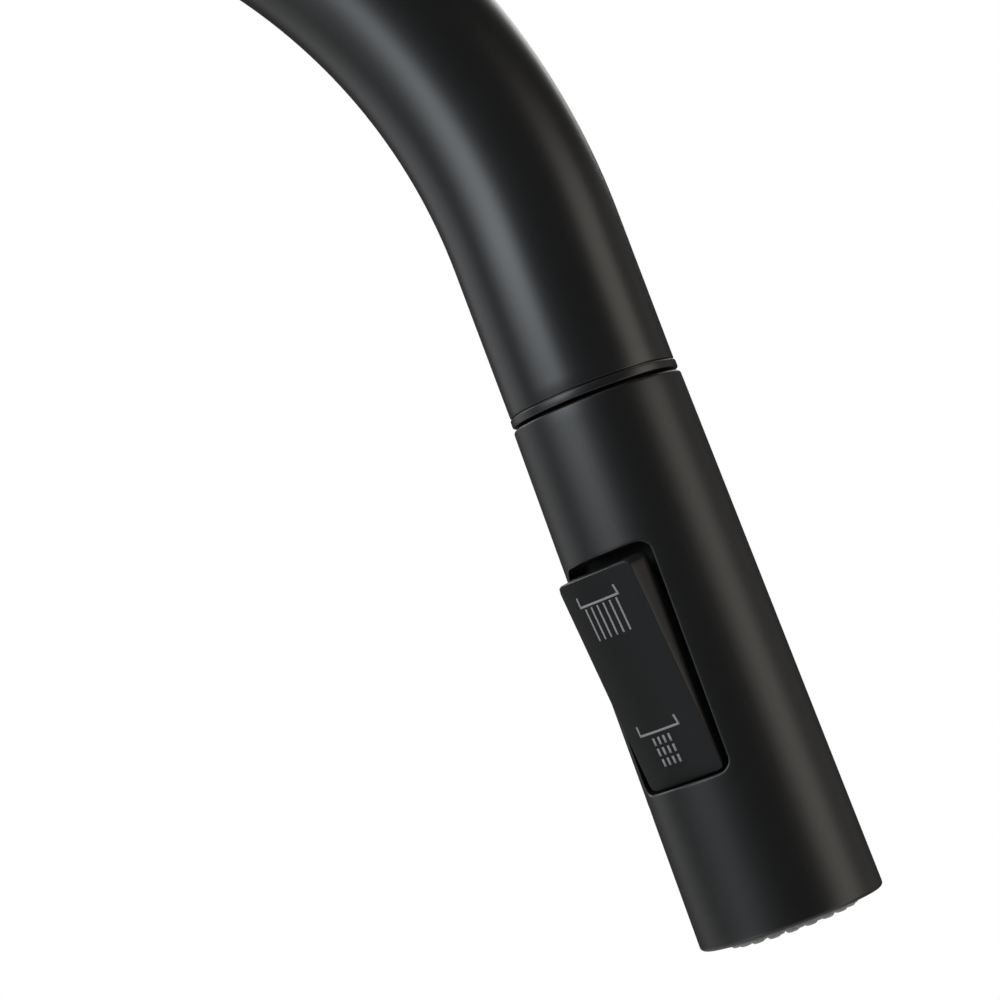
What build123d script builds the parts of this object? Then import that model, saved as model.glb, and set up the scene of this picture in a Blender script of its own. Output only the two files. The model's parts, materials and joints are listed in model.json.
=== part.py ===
"""Pull-down kitchen faucet with a two-mode spray head, built piece by piece.

Millimetres.  The origin is the centre of the base on the deck, +Z is up, the
spout reaches along +X and the lever handle is on the +Y side.
"""
import os
from math import cos, radians, sin

from build123d import *

STAND = (Align.CENTER, Align.CENTER, Align.MIN)

# Gooseneck spout
TUBE_R = 15.3
TUBE_BORE_R = 13.8
TUBE_LOW = 146.0
ARC_LOW = 280.0
ARC_R = 118.0
LEAN = 20.8  # angle of the spray axis from the vertical
TUBE_RUN = 28.0  # straight run after the arc
ARC_TURN = 180.0 - LEAN

# Hose, coaxial with the tube
HOSE_R = 5.0
HOSE_BORE_R = 3.2
HOSE_LOW = -86.0

# Body column, base and deck fixing
COLUMN_R = 23.0
COLUMN_BORE_R = 18.8
COLUMN_HIGH = 118.0
BASE_PLATE_HIGH = 14.0
TOP_PLATE_LOW = 110.0
GASKET_T = 1.5
FLANGE_R = 27.0
FLANGE_HIGH = 7.5
SHANK_R = 16.6
SHANK_BORE_R = 14.6
SHANK_LOW = -80.0
DECK_T = 30.0

# Jack screws, either side of the shank
JACK_RING_R = 20.6
JACK_R = 2.5
WASHER_R = 25.0
NUT_R = 27.0
NUT_LOW = -DECK_T - 18.0
NUT_HIGH = -DECK_T - 9.0

# Spout swivel
SPIGOT_R = 16.0
SPIGOT_BORE_R = 11.0
SPIGOT_HIGH = 143.5
SPIGOT_RINGS = (124.0, 138.0)
SWIVEL_GAP = 0.06
SWIVEL_HALF_TURN = 60.0
HUB_LOW = COLUMN_HIGH + 1.05
HUB_SHOULDER = 149.0
HUB_HIGH = 158.0
SCREW_Z = 131.0
SCREW_TIP_R = 1.7
SCREW_TIP_REACH = 14.3

# Valve: its axis runs along +Y at this height, and "out" is the distance along it
VALVE_Z = 70.0
BOSS_R = 18.0
BOSS_END = 36.5
POCKET_OUT = 13.4
SEAT_OUT = 26.0
CARTRIDGE_R = 12.8
CARTRIDGE_BORE_R = 11.3
TURRET_END = 35.2
PIVOT_OUT = 32.6
STEM_ARM = 8.0
STEM_HALF = 3.0
HUB_FACE = 44.2
HUB_END = 58.5
HANDLE_R = 14.5
LEVER_OUT = 51.5
LEVER_R = 4.0
LEVER_LENGTH = 96.0

# Supply ports in the valve manifold, M8x1 tapping size
PORT_R = 3.5
PORT_DEPTH = 10.0
PORT_RING_R = 10.6
PORT_ANGLES = {"hot": 139.0, "cold": 41.0, "outlet": 90.0}
MANIFOLD_LOW = 44.0
MANIFOLD_HIGH = 96.0
CARTRIDGE_PORTS = {"hot": (-4.5, 0.0), "cold": (4.5, 0.0), "outlet": (0.0, 5.0)}

# Spray head: heights are measured from its top face, down the spray axis
HEAD_GAP = 2.2  # tube end to the top of the head
HEAD_TURN = 43.0  # how far the head is turned in its dock
HEAD_TOP_R = 15.6
HEAD_LOW_R = 16.8
HEAD_LENGTH = 96.0
HEAD_WALL = 2.0
CONE_HIGH = 14.0
DOCK_DEEP = 19.5  # the trim ring's sleeve inside the tube
RING_LOW = -1.65
GUIDE_R = 12.28
MAGNET_LOW = 13.8

# Mode rocker and its pocket, on the head's front (-Y of the head's own frame)
ROCKER_Z = -46.9
ROCKER_WIDTH = 17.0
ROCKER_LENGTH = 39.0
ROCKER_FACE = 16.75  # face centre line from the head's axis, rocker level
ROCKER_FACE_R = 29.4
ROCKER_SKIRT = 10.35
ROCKER_WALL = 1.6
ROCKER_TILT = 6.7  # either side of level
PIVOT_DEEP = 7.3  # pivot pin from the head's axis
PIN_R = 1.05
ROCKER_ARM = 6.3  # pivot to the tip that moves the diverter
ROCKER_TIP_R = 0.9
ROCKER_ROOF = 1.9
HUB_R = 2.9
HUB_HALF = 7.2
POCKET_WIDTH = 19.5
POCKET_LENGTH = 41.4
POCKET_CORNER = 2.0
POCKET_FLOOR = 7.7
TRAY_WALL = 1.2

# Waterway inside the head
CORE_R = 12.9
CORE_LOW = -80.0
CORE_HIGH = -22.0
WAY_R = 1.8
SPRAY_WAY_Y = 7.5
SPOOL_Y = 1.2
SPOOL_R = 2.85
SPOOL_LOW = -61.5
SPOOL_HIGH = -36.0
SPOOL_RINGS = (-38.0, -52.0, -60.0)
CHECK_LOW = -29.5
CHECK_HIGH = -18.0

# Spray face
PAD_R = 12.3
PAD_LOW = -96.4
PAD_HIGH = -89.5
NOZZLE_HIGH = 0.8
NOZZLE_HOLE_R = 0.4
NOZZLE_RINGS = ((20, 10.75, 1.35, 0.0), (14, 8.15, 0.9, 6.0))  # count, radius, base radius, start
FACE_HIGH = -85.0
AERATOR_R = 6.65
AERATOR_BORE_R = 5.8
SCREEN_HOLES = ((6, 1.6), (12, 3.1), (18, 4.6))  # count, radius


def rod(radius, low, high, x=0.0, y=0.0):
    """A round bar along Z between two heights."""
    return Pos(x, y, low) * Cylinder(radius, high - low, align=STAND)


def sleeve(outer, inner, low, high):
    """A round sleeve about Z."""
    return rod(outer, low, high) - rod(inner, low, high)


def turned(*profile):
    """A solid turned about Z from its (radius, height) corners."""
    face = Plane.XZ * make_face(Polyline(*profile, close=True))
    return revolve(face, Axis.Z)


def block(x, y, z):
    """A box between pairs of x, y and z limits."""
    size = Box(x[1] - x[0], y[1] - y[0], z[1] - z[0], align=(Align.MIN, Align.MIN, Align.MIN))
    return Pos(x[0], y[0], z[0]) * size


def bar(start, end, radius):
    """A round bar from one point to another."""
    run = Vector(*end) - Vector(*start)
    return Plane(origin=start, z_dir=run) * Cylinder(radius, run.length, align=STAND)


def ring(radius, wire, z):
    """An O-ring about Z."""
    return Pos(0, 0, z) * Torus(radius, wire)


def around(count, radius, start=0.0):
    """Points evenly spaced on a circle."""
    angles = [radians(start + 360.0 * i / count) for i in range(count)]
    return [(radius * cos(angle), radius * sin(angle)) for angle in angles]


def tube_end():
    """Centre of the spout's lower opening."""
    x = ARC_R * (1 + cos(radians(LEAN))) + TUBE_RUN * sin(radians(LEAN))
    z = ARC_LOW + ARC_R * sin(radians(LEAN)) - TUBE_RUN * cos(radians(LEAN))
    return (x, 0, z)


# Local frames: the valve's Z is world +Y, the dock's and the head's -Z is the spray axis
VALVE = Pos(0, 0, VALVE_Z) * Rot(-90, 0, 0)
DOCK = Pos(*tube_end()) * Rot(0, -LEAN, 0)
HEAD = DOCK * Pos(0, 0, -HEAD_GAP) * Rot(0, 0, -HEAD_TURN)


# ---------------------------------------------------------------- base and column
def base_gasket():
    return sleeve(FLANGE_R - 1.2, SHANK_R + 0.6, 0, GASKET_T)


def base_flange():
    flange = sleeve(FLANGE_R, SHANK_R + 0.4, GASKET_T, FLANGE_HIGH)
    rim = flange.edges().filter_by(GeomType.CIRCLE).group_by(SortBy.RADIUS)[-1]
    return fillet(rim.sort_by(Axis.Z)[-1], 3.0)


def body_column():
    """Column with a side boss for the valve."""
    column = rod(COLUMN_R, FLANGE_HIGH, COLUMN_HIGH)
    column = fillet(column.edges().filter_by(GeomType.CIRCLE).sort_by(Axis.Z)[-1], 0.8)
    boss = VALVE * rod(BOSS_R, 0, BOSS_END)
    solid = column + boss
    solid -= rod(COLUMN_BORE_R, BASE_PLATE_HIGH, TOP_PLATE_LOW)
    solid -= rod(SHANK_R, FLANGE_HIGH, BASE_PLATE_HIGH)
    solid -= rod(SPIGOT_R, TOP_PLATE_LOW, COLUMN_HIGH)
    solid -= VALVE * rod(CARTRIDGE_R + 0.2, POCKET_OUT, SEAT_OUT)
    solid -= VALVE * rod(BOSS_R - 3.0, SEAT_OUT, BOSS_END)
    return solid


def port_point(name):
    """Place of a supply port on the manifold's underside."""
    angle = radians(PORT_ANGLES[name])
    return (PORT_RING_R * cos(angle), PORT_RING_R * sin(angle))


def valve_manifold():
    """Brass block with three threaded ports below and the cartridge's pocket at the side."""
    solid = rod(COLUMN_BORE_R, MANIFOLD_LOW, MANIFOLD_HIGH)
    solid -= rod(HOSE_R + 0.8, MANIFOLD_LOW, MANIFOLD_HIGH)
    solid -= VALVE * rod(CARTRIDGE_R + 0.2, POCKET_OUT, COLUMN_BORE_R + 1)
    for name, (across, down) in CARTRIDGE_PORTS.items():
        x, y = port_point(name)
        port_high = MANIFOLD_LOW + PORT_DEPTH
        turn_z = VALVE_Z - down
        solid -= rod(PORT_R, MANIFOLD_LOW, port_high, x, y)
        solid -= rod(2.0, port_high, turn_z, x, y)
        solid -= bar((x, y, turn_z), (across, POCKET_OUT + 0.5, turn_z), 1.8)
    return solid


def shank():
    return sleeve(SHANK_R, SHANK_BORE_R, SHANK_LOW, BASE_PLATE_HIGH)


def deck_rubber_washer():
    return sleeve(WASHER_R, SHANK_R + 0.4, -DECK_T - 3.0, -DECK_T)


def deck_steel_washer():
    return sleeve(WASHER_R, SHANK_R + 0.3, -DECK_T - 5.0, -DECK_T - 3.0)


def mounting_nut():
    """Hexagonal nut on the shank with a threaded hole for each jack screw."""
    blank = Pos(0, 0, NUT_LOW) * extrude(RegularPolygon(NUT_R, 6), NUT_HIGH - NUT_LOW)
    solid = blank - rod(SHANK_R, NUT_LOW, NUT_HIGH)
    for x, y in around(2, JACK_RING_R, 90.0):
        solid -= rod(JACK_R, NUT_LOW, NUT_HIGH, x, y)
    return solid


def jack_screws():
    """Two screws that press the steel washer up against the deck."""
    head_low = NUT_LOW - 8.0
    head_high = head_low + 3.0
    screws = Part()
    for x, y in around(2, JACK_RING_R, 90.0):
        shaft = rod(JACK_R, head_high, -DECK_T - 5.0, x, y)
        head = rod(JACK_R + 1.4, head_low, head_high, x, y)
        slot = block((x - 4, x + 4), (y - 0.5, y + 0.5), (head_low, head_low + 1.0))
        screws += shaft + head - slot
    return screws


# ---------------------------------------------------------------- spout swivel
def swivel_spigot():
    """Fixed tube that the spout turns on, with O-ring grooves and a stop groove."""
    solid = sleeve(SPIGOT_R, SPIGOT_BORE_R, TOP_PLATE_LOW, SPIGOT_HIGH)
    solid += sleeve(COLUMN_BORE_R, SPIGOT_BORE_R, TOP_PLATE_LOW - 7.0, TOP_PLATE_LOW)
    for z in SPIGOT_RINGS:
        solid -= sleeve(SPIGOT_R + 1, 14.4, z - 1.0, z + 1.0)
    half = SWIVEL_HALF_TURN + 8.0
    corners = [(0, 0)]
    for angle, reach in ((180 - half, 40), (180, 75), (180 + half, 40)):
        corners.append((reach * cos(radians(angle)), reach * sin(radians(angle))))
    wedge = extrude(make_face(Polyline(*corners, close=True)), 200)
    groove = sleeve(SPIGOT_R + 1, SCREW_TIP_REACH - 0.3, SCREW_Z - 2.0, SCREW_Z + 2.0)
    return solid - (groove & wedge)


def spigot_o_rings():
    low, high = SPIGOT_RINGS
    return ring(15.15, 0.72, low) + ring(15.15, 0.72, high)


def swivel_slip_ring():
    return sleeve(20.5, SPIGOT_R + 0.1, COLUMN_HIGH, COLUMN_HIGH + 1.0)


def spout_hub():
    """Collar that carries the spout and turns on the spigot."""
    bearing = SPIGOT_R + SWIVEL_GAP
    hub = turned(
        (bearing, HUB_LOW),
        (COLUMN_R - 0.6, HUB_LOW),
        (COLUMN_R, HUB_LOW + 0.6),
        (COLUMN_R, HUB_SHOULDER),
        (TUBE_R + 3.0, HUB_HIGH - 3.0),
        (TUBE_R + 2.0, HUB_HIGH),
        (TUBE_R, HUB_HIGH),
        (TUBE_R, TUBE_LOW),
        (TUBE_BORE_R, TUBE_LOW),
        (TUBE_BORE_R, TUBE_LOW - 2.0),
        (bearing, TUBE_LOW - 2.0),
    )
    return hub - bar((-COLUMN_R - 1, 0, SCREW_Z), (-SPIGOT_R, 0, SCREW_Z), 2.5)


def spout_retaining_screw():
    """Grub screw whose tip rides in the spigot's stop groove."""
    thread = bar((-COLUMN_R + 0.6, 0, SCREW_Z), (-SPIGOT_R - 0.3, 0, SCREW_Z), 2.5)
    tip = bar((-SPIGOT_R - 0.3, 0, SCREW_Z), (-SCREW_TIP_REACH, 0, SCREW_Z), SCREW_TIP_R)
    socket = bar((-COLUMN_R, 0, SCREW_Z), (-COLUMN_R + 3.0, 0, SCREW_Z), 1.2)
    return thread + tip - socket


def gooseneck(outer, inner, low, run):
    """A tube along the spout's centre line: riser, arc and straight run."""
    section = Pos(0, 0, ARC_LOW) * (Circle(outer) - Circle(inner))
    bend = revolve(section, Axis((ARC_R, 0, ARC_LOW), (0, 1, 0)), ARC_TURN)
    riser = sleeve(outer, inner, low, ARC_LOW)
    tail = DOCK * sleeve(outer, inner, TUBE_RUN - run, TUBE_RUN)
    return riser + bend + tail


def spout_tube():
    return gooseneck(TUBE_R, TUBE_BORE_R, TUBE_LOW, TUBE_RUN)


def hose():
    """Spray hose from below the shank to the ferrule at the head."""
    return gooseneck(HOSE_R, HOSE_BORE_R, HOSE_LOW, TUBE_RUN + HEAD_GAP + 8.0)


def hose_tail_fitting():
    """Crimped ferrule and M10 nipple on the hose's lower end."""
    return turned(
        (2.8, HOSE_LOW - 30),
        (4.95, HOSE_LOW - 30),
        (4.95, HOSE_LOW - 18),
        (6.6, HOSE_LOW - 18),
        (6.6, HOSE_LOW - 12),
        (6.3, HOSE_LOW - 12),
        (6.3, HOSE_LOW + 8),
        (HOSE_R, HOSE_LOW + 8),
        (HOSE_R, HOSE_LOW),
        (2.8, HOSE_LOW),
    )


# ---------------------------------------------------------------- dock at the spout's end
def dock_ring():
    """Trim ring with a sleeve inside the tube."""
    rim = TUBE_R + 0.15
    return DOCK * turned(
        (GUIDE_R + 0.02, DOCK_DEEP),
        (TUBE_BORE_R - 0.02, DOCK_DEEP),
        (TUBE_BORE_R - 0.02, 0),
        (TUBE_R - 0.4, 0),
        (TUBE_R - 0.4, -0.2),
        (rim, -0.2),
        (rim, RING_LOW),
        (GUIDE_R + 0.02, RING_LOW),
    )


def dock_guide():
    """Conical plastic mouth that centres the head."""
    return DOCK * turned(
        (GUIDE_R - 0.38, -1.3),
        (GUIDE_R, -1.3),
        (GUIDE_R, MAGNET_LOW),
        (7.9, MAGNET_LOW),
        (7.9, MAGNET_LOW - 1.8),
    )


def dock_magnet():
    return DOCK * sleeve(GUIDE_R, 6.0, MAGNET_LOW, MAGNET_LOW + 5.0)


# ---------------------------------------------------------------- valve, along its own axis
def port_holes(low, high, radius):
    """The cartridge's three ports as bars through a disc."""
    holes = Part()
    for x, y in CARTRIDGE_PORTS.values():
        holes += rod(radius, low, high, x, y)
    return holes


def cartridge_seal():
    return VALVE * (rod(12.6, POCKET_OUT, 14.2) - port_holes(POCKET_OUT, 14.2, 1.9))


def cartridge_housing():
    """Cup that holds the discs and the turret, with a shoulder that seats in the boss."""
    solid = rod(CARTRIDGE_R, 14.2, TURRET_END)
    solid += rod(14.8, SEAT_OUT, SEAT_OUT + 3.0)
    solid -= rod(CARTRIDGE_BORE_R, 16.5, TURRET_END)
    return VALVE * (solid - port_holes(14.2, 16.5, 1.7))


def fixed_disc():
    return VALVE * (rod(CARTRIDGE_BORE_R, 16.5, 19.5) - port_holes(16.5, 19.5, 1.6))


def moving_disc():
    """Disc that slides across the fixed one, with a mixing recess and a socket for the stem."""
    disc = rod(7.6, 19.53, 25.5)
    disc -= rod(3.5, 19.53, 20.7)
    return VALVE * (disc - rod(2.0, 22.5, 25.5))


def cartridge_turret():
    """Rotor that carries the stem and its pin."""
    rotor = rod(CARTRIDGE_BORE_R - 0.06, 26.0, TURRET_END)
    slot_half = STEM_HALF + 0.15
    rotor -= block((-slot_half, slot_half), (-6.6, 6.6), (26.0, TURRET_END))
    return VALVE * (rotor - bar((-12, 0, PIVOT_OUT), (12, 0, PIVOT_OUT), 1.25))


def stem_pin():
    return VALVE * bar((-11.0, 0, PIVOT_OUT), (11.0, 0, PIVOT_OUT), 1.25)


def cartridge_stem():
    """Lever stem: a ball in the moving disc, a pivot and a square end for the handle."""
    ball_out = PIVOT_OUT - STEM_ARM
    span = (-STEM_HALF, STEM_HALF)
    stem = Pos(0, 0, ball_out) * Sphere(1.8)
    stem += rod(1.4, ball_out, 29.0)
    stem += block(span, span, (29.0, 53.5))
    return VALVE * (stem - bar((-4, 0, PIVOT_OUT), (4, 0, PIVOT_OUT), 1.30))


def cartridge_nut():
    """Ring that clamps the cartridge's shoulder and keeps the turret in."""
    return VALVE * turned(
        (CARTRIDGE_R + 0.05, SEAT_OUT + 3.0),
        (BOSS_R - 3.05, SEAT_OUT + 3.0),
        (BOSS_R - 3.05, BOSS_END - 0.1),
        (8.6, BOSS_END - 0.1),
        (8.6, TURRET_END + 0.1),
        (CARTRIDGE_R + 0.05, TURRET_END + 0.1),
    )


def valve_cap():
    """Low cone between the boss and the handle, clear of the handle when it tilts."""
    return VALVE * turned(
        (7.8, BOSS_END),
        (BOSS_R - 0.4, BOSS_END),
        (BOSS_R - 0.8, BOSS_END + 0.3),
        (9.4, 40.4),
        (7.8, 40.4),
    )


def handle_hub():
    """Round hub with a square socket, a lever hole and a set screw hole."""
    hub = rod(HANDLE_R, HUB_FACE, HUB_END)
    rims = hub.edges().filter_by(GeomType.CIRCLE).sort_by(Axis.Z)
    hub = fillet(rims[-1], 2.0)
    hub = fillet(hub.edges().filter_by(GeomType.CIRCLE).sort_by(Axis.Z)[0], 0.8)
    span = (-STEM_HALF - 0.02, STEM_HALF + 0.02)
    hub -= block(span, span, (HUB_FACE, 54.0))
    hub -= bar((0, -8.0, LEVER_OUT), (0, -HANDLE_R - 1, LEVER_OUT), LEVER_R)
    return VALVE * (hub - bar((0, STEM_HALF, 49.0), (0, HANDLE_R + 1, 49.0), 2.0))


def handle_lever():
    """Slim lever, upright when the valve is shut and pointing straight."""
    tip = 8.0 + LEVER_LENGTH
    lever = turned((0, 8.0), (LEVER_R, 8.0), (LEVER_R, 16.0), (3.4, tip - 2.0), (2.4, tip), (0, tip))
    return VALVE * Pos(0, 0, LEVER_OUT) * Rot(90, 0, 0) * lever


def handle_set_screw():
    thread = bar((0, STEM_HALF + 0.05, 49.0), (0, 9.0, 49.0), 2.0)
    return VALVE * (thread - bar((0, 6.5, 49.0), (0, 9.0, 49.0), 1.0))


def handle_index_plug():
    return VALVE * bar((0, 12.4, 49.0), (0, 14.3, 49.0), 2.0)


# ---------------------------------------------------------------- hose end
def hose_ferrule():
    return HEAD * sleeve(5.8, HOSE_R + 0.05, -7.9, 4.0)


def hose_nipple():
    """Swivel nipple: a barb in the hose, a collar in the nut and a stem in the head."""
    body = turned(
        (2.2, 2.0),
        (HOSE_BORE_R - 0.05, 2.0),
        (HOSE_BORE_R - 0.05, -8.05),
        (7.0, -8.05),
        (7.0, -10.8),
        (4.6, -10.8),
        (4.6, -17.0),
        (2.2, -17.0),
    )
    return HEAD * (body - sleeve(5.0, 3.7, -15.2, -13.4))


def nipple_o_ring():
    return HEAD * ring(4.15, 0.44, -14.3)


# ---------------------------------------------------------------- spray head
def head_radius(z):
    """Outer radius of the tapered head at a height."""
    return HEAD_TOP_R + (HEAD_LOW_R - HEAD_TOP_R) * -z / HEAD_LENGTH


def bore_cone(slack, low, high):
    """The shell's inside as a solid, smaller by a slack."""
    inset = HEAD_WALL + slack
    return turned(
        (0, low),
        (head_radius(low) - inset, low),
        (head_radius(high) - inset, high),
        (0, high),
    )


def front_pad(width, length, corner, low, high):
    """A rounded block on the rocker's side, between two distances from the head's axis."""
    outline = RectangleRounded(width, length, corner)
    return Plane.XZ * (Pos(0, ROCKER_Z, low) * extrude(outline, high - low))


def head_shell():
    """Tapered shell with the rocker's opening in its front."""
    shell = turned((0, -HEAD_LENGTH), (HEAD_LOW_R, -HEAD_LENGTH), (HEAD_TOP_R, 0), (0, 0))
    rims = shell.edges().filter_by(GeomType.CIRCLE).sort_by(Axis.Z)
    shell = fillet(rims[-1], 0.6)
    shell = fillet(shell.edges().filter_by(GeomType.CIRCLE).sort_by(Axis.Z)[0], 0.8)
    shell -= bore_cone(0, -HEAD_LENGTH, 0)
    return HEAD * (shell - front_pad(POCKET_WIDTH, POCKET_LENGTH, POCKET_CORNER, 5.0, 25.0))


def docking_cone():
    """Cone on the head's top that seats in the dock, with the hose passing through."""
    return HEAD * turned(
        (6.25, -3.4),
        (HEAD_TOP_R - HEAD_WALL, -3.4),
        (HEAD_TOP_R - HEAD_WALL, -0.5),
        (11.6, -0.3),
        (11.5, 0.9),
        (7.5, CONE_HIGH),
        (5.7, CONE_HIGH),
        (5.7, 8.0),
        (6.25, 8.0),
    )


def catch_ring():
    """Steel ring that the dock magnet pulls."""
    return HEAD * sleeve(7.4, 5.7, CONE_HIGH, CONE_HIGH + 1.2)


def inlet_nut():
    """Nut that holds the hose's swivel nipple on the waterway."""
    nut = Pos(0, 0, -14.0) * extrude(RegularPolygon(9.4, 6), 8.5)
    nut -= rod(7.05, -14.0, -8.0)
    return HEAD * (nut - rod(6.15, -8.0, -5.5))


def waterway_body():
    """Moulded core: inlet neck, check valve bore, diverter bore and two ways down."""
    core = rod(CORE_R, CORE_LOW, CORE_HIGH)
    core += rod(CORE_R + 1.5, CORE_LOW, CORE_LOW + 4.0)
    core += rod(7.0, CORE_HIGH, -11.0)
    core -= block((-20, 20), (-20, -6.3), (ROCKER_Z - 22.5, ROCKER_Z + 22.5))
    core -= block((-9.6, 9.6), (-6.4, -3.8), (ROCKER_Z - 9.5, ROCKER_Z + 9.5))
    core -= block((-1.5, 1.5), (-3.9, SPOOL_Y), (ROCKER_Z - 3.5, ROCKER_Z + 4.0))
    core -= rod(4.66, CHECK_HIGH, -11.0)
    core -= rod(4.25, CHECK_LOW, CHECK_HIGH)
    core -= rod(WAY_R, SPOOL_HIGH + 2.0, CHECK_LOW)
    core -= rod(SPOOL_R + 0.05, SPOOL_LOW - 2.5, SPOOL_HIGH + 2.0, 0, SPOOL_Y)
    core -= rod(WAY_R, CORE_LOW, SPOOL_LOW - 2.5, 0, SPOOL_Y)
    core -= rod(WAY_R, CORE_LOW, -56.0, 0, SPRAY_WAY_Y)
    core -= bar((0, SPOOL_Y, -57.8), (0, SPRAY_WAY_Y, -57.8), 1.5)
    return HEAD * core


def inlet_filter():
    disc = rod(4.5, -17.9, -17.2)
    for x, y in [(0, 0)] + around(6, 1.7) + around(12, 3.3):
        disc -= rod(0.5, -17.9, -17.2, x, y)
    return HEAD * disc


def check_valve_housing():
    """Cartridge with a seat above and a pierced guide below."""
    housing = sleeve(4.2, 3.2, -29.3, -18.2)
    housing += sleeve(3.3, 1.8, -19.6, -18.2)
    housing += sleeve(3.3, 1.0, -29.3, -28.0)
    for x, y in around(4, 2.2):
        housing -= rod(0.6, -29.3, -28.0, x, y)
    return HEAD * housing


def check_valve_poppet():
    return HEAD * (rod(2.7, -21.2, -19.65) + rod(0.9, -28.6, -21.2))


def check_valve_spring():
    """Light coil under the poppet."""
    path = Pos(0, 0, -27.7) * Helix(pitch=1.5, height=6.0, radius=1.9)
    section = Plane(origin=path @ 0, z_dir=path % 0) * Circle(0.22)
    return HEAD * sweep(section, path=path, is_frenet=True)


def rocker_tray():
    """Lining of the rocker's pocket, with two ears below its floor for the pivot pin."""
    width = POCKET_WIDTH + 2 * TRAY_WALL
    length = POCKET_LENGTH + 2 * TRAY_WALL
    tray = front_pad(width, length, POCKET_CORNER + 1.0, POCKET_FLOOR - TRAY_WALL, 20.0)
    tray -= front_pad(POCKET_WIDTH, POCKET_LENGTH, POCKET_CORNER, POCKET_FLOOR, 25.0)
    tray &= bore_cone(0.02, -80.0, -10.0)
    for side in (-1, 1):
        x = sorted((side * 7.6, side * 9.2))
        tray += block(x, (-9.0, -4.8), (ROCKER_Z - 4, ROCKER_Z + 4))
    tray -= block((-7.5, 7.5), (-POCKET_FLOOR - 1, -5.0), (ROCKER_Z - 8.5, ROCKER_Z + 8.5))
    return HEAD * (tray - rocker_axis(PIN_R, 12.0))


def rocker_axis(radius, half):
    """A bar along the rocker's pivot."""
    return bar((-half, -PIVOT_DEEP, ROCKER_Z), (half, -PIVOT_DEEP, ROCKER_Z), radius)


def rocker_pin():
    return HEAD * rocker_axis(PIN_R, 9.2)


def mode_rocker():
    """Hollow convex rocker with a pivot hub and a tip that moves the diverter."""
    crown_z = ROCKER_FACE - ROCKER_FACE_R
    crown = Pos(0, -crown_z, ROCKER_Z - 30) * Cylinder(ROCKER_FACE_R, 60, align=STAND)
    roof_r = ROCKER_FACE_R - ROCKER_ROOF
    under = Pos(0, -crown_z, ROCKER_Z - 30) * Cylinder(roof_r, 60, align=STAND)
    outer = front_pad(ROCKER_WIDTH, ROCKER_LENGTH, 1.6, ROCKER_SKIRT, 20.0) & crown
    inside = (ROCKER_WIDTH - 2 * ROCKER_WALL, ROCKER_LENGTH - 2 * ROCKER_WALL)
    cavity = front_pad(inside[0], inside[1], 0.8, ROCKER_SKIRT, 20.0) & under
    tip_y = ROCKER_ARM - PIVOT_DEEP
    rocker = outer - cavity
    rocker += rocker_axis(HUB_R, HUB_HALF)
    web = (-ROCKER_FACE + 1.55, -PIVOT_DEEP)
    rocker += block((-HUB_HALF, HUB_HALF), web, (ROCKER_Z - 2.0, ROCKER_Z + 2.0))
    rocker += block((-1.0, 1.0), (-PIVOT_DEEP, tip_y), (ROCKER_Z - 0.9, ROCKER_Z + 0.9))
    rocker += bar((-1.0, tip_y, ROCKER_Z), (1.0, tip_y, ROCKER_Z), ROCKER_TIP_R)
    rocker -= rocker_axis(PIN_R + 0.05, 12.0)
    pivot = Pos(0, -PIVOT_DEEP, ROCKER_Z)
    level = Pos(0, PIVOT_DEEP, -ROCKER_Z) * rocker
    return HEAD * pivot * Rot(ROCKER_TILT, 0, 0) * level


def diverter_spool():
    """Spool whose waist is held between the sides of its groove by the rocker's tip."""
    tip_z = ROCKER_Z + ROCKER_ARM * sin(radians(ROCKER_TILT))
    spool = rod(SPOOL_R, SPOOL_LOW, SPOOL_HIGH, 0, SPOOL_Y)
    groove = sleeve(SPOOL_R + 1, 0.95, tip_z - ROCKER_TIP_R - 0.12, tip_z + ROCKER_TIP_R + 0.12)
    spool -= Pos(0, SPOOL_Y, 0) * groove
    for z in SPOOL_RINGS:
        spool -= Pos(0, SPOOL_Y, z) * sleeve(SPOOL_R + 1, 2.0, -0.5, 0.5)
    return HEAD * spool


def spool_o_rings():
    rings = Part()
    for z in SPOOL_RINGS:
        rings += Pos(0, SPOOL_Y, 0) * ring(2.42, 0.38, z)
    return HEAD * rings


def diffuser_plate():
    """Pierced plate that spreads the water over the spray face."""
    low = CORE_LOW - 3.0
    plate = sleeve(13.4, 3.0, low, CORE_LOW)
    for x, y in around(16, 9.5):
        plate -= rod(0.9, low, CORE_LOW, x, y)
    return HEAD * plate


def chamber_o_ring():
    return HEAD * ring(13.98, 0.56, -81.5)


def spray_face():
    """Black face insert: an outer wall, an inner boss ring and a pierced floor."""
    floor_low = FACE_HIGH - 2.0
    face = sleeve(14.6, PAD_R + 0.05, -95.4, FACE_HIGH)
    face += sleeve(PAD_R + 0.1, AERATOR_R, floor_low, FACE_HIGH)
    for x, y in around(20, 9.6):
        face -= rod(0.9, floor_low, FACE_HIGH, x, y)
    return HEAD * face


def nozzle_pad():
    """Soft annular pad with two rings of raised nozzles."""
    pad = sleeve(PAD_R, AERATOR_R + 0.1, PAD_LOW, PAD_HIGH)
    for count, radius, base_r, start in NOZZLE_RINGS:
        nozzle = Rot(180, 0, 0) * Cone(base_r, base_r * 0.7, NOZZLE_HIGH, align=STAND)
        for x, y in around(count, radius, start):
            pad += Pos(x, y, PAD_LOW) * nozzle
        for x, y in around(count, radius, start):
            pad -= rod(NOZZLE_HOLE_R, PAD_LOW - NOZZLE_HIGH, PAD_HIGH, x, y)
    return HEAD * pad


def aerator_housing():
    return HEAD * sleeve(AERATOR_R, AERATOR_BORE_R, -96.6, FACE_HIGH)


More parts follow.
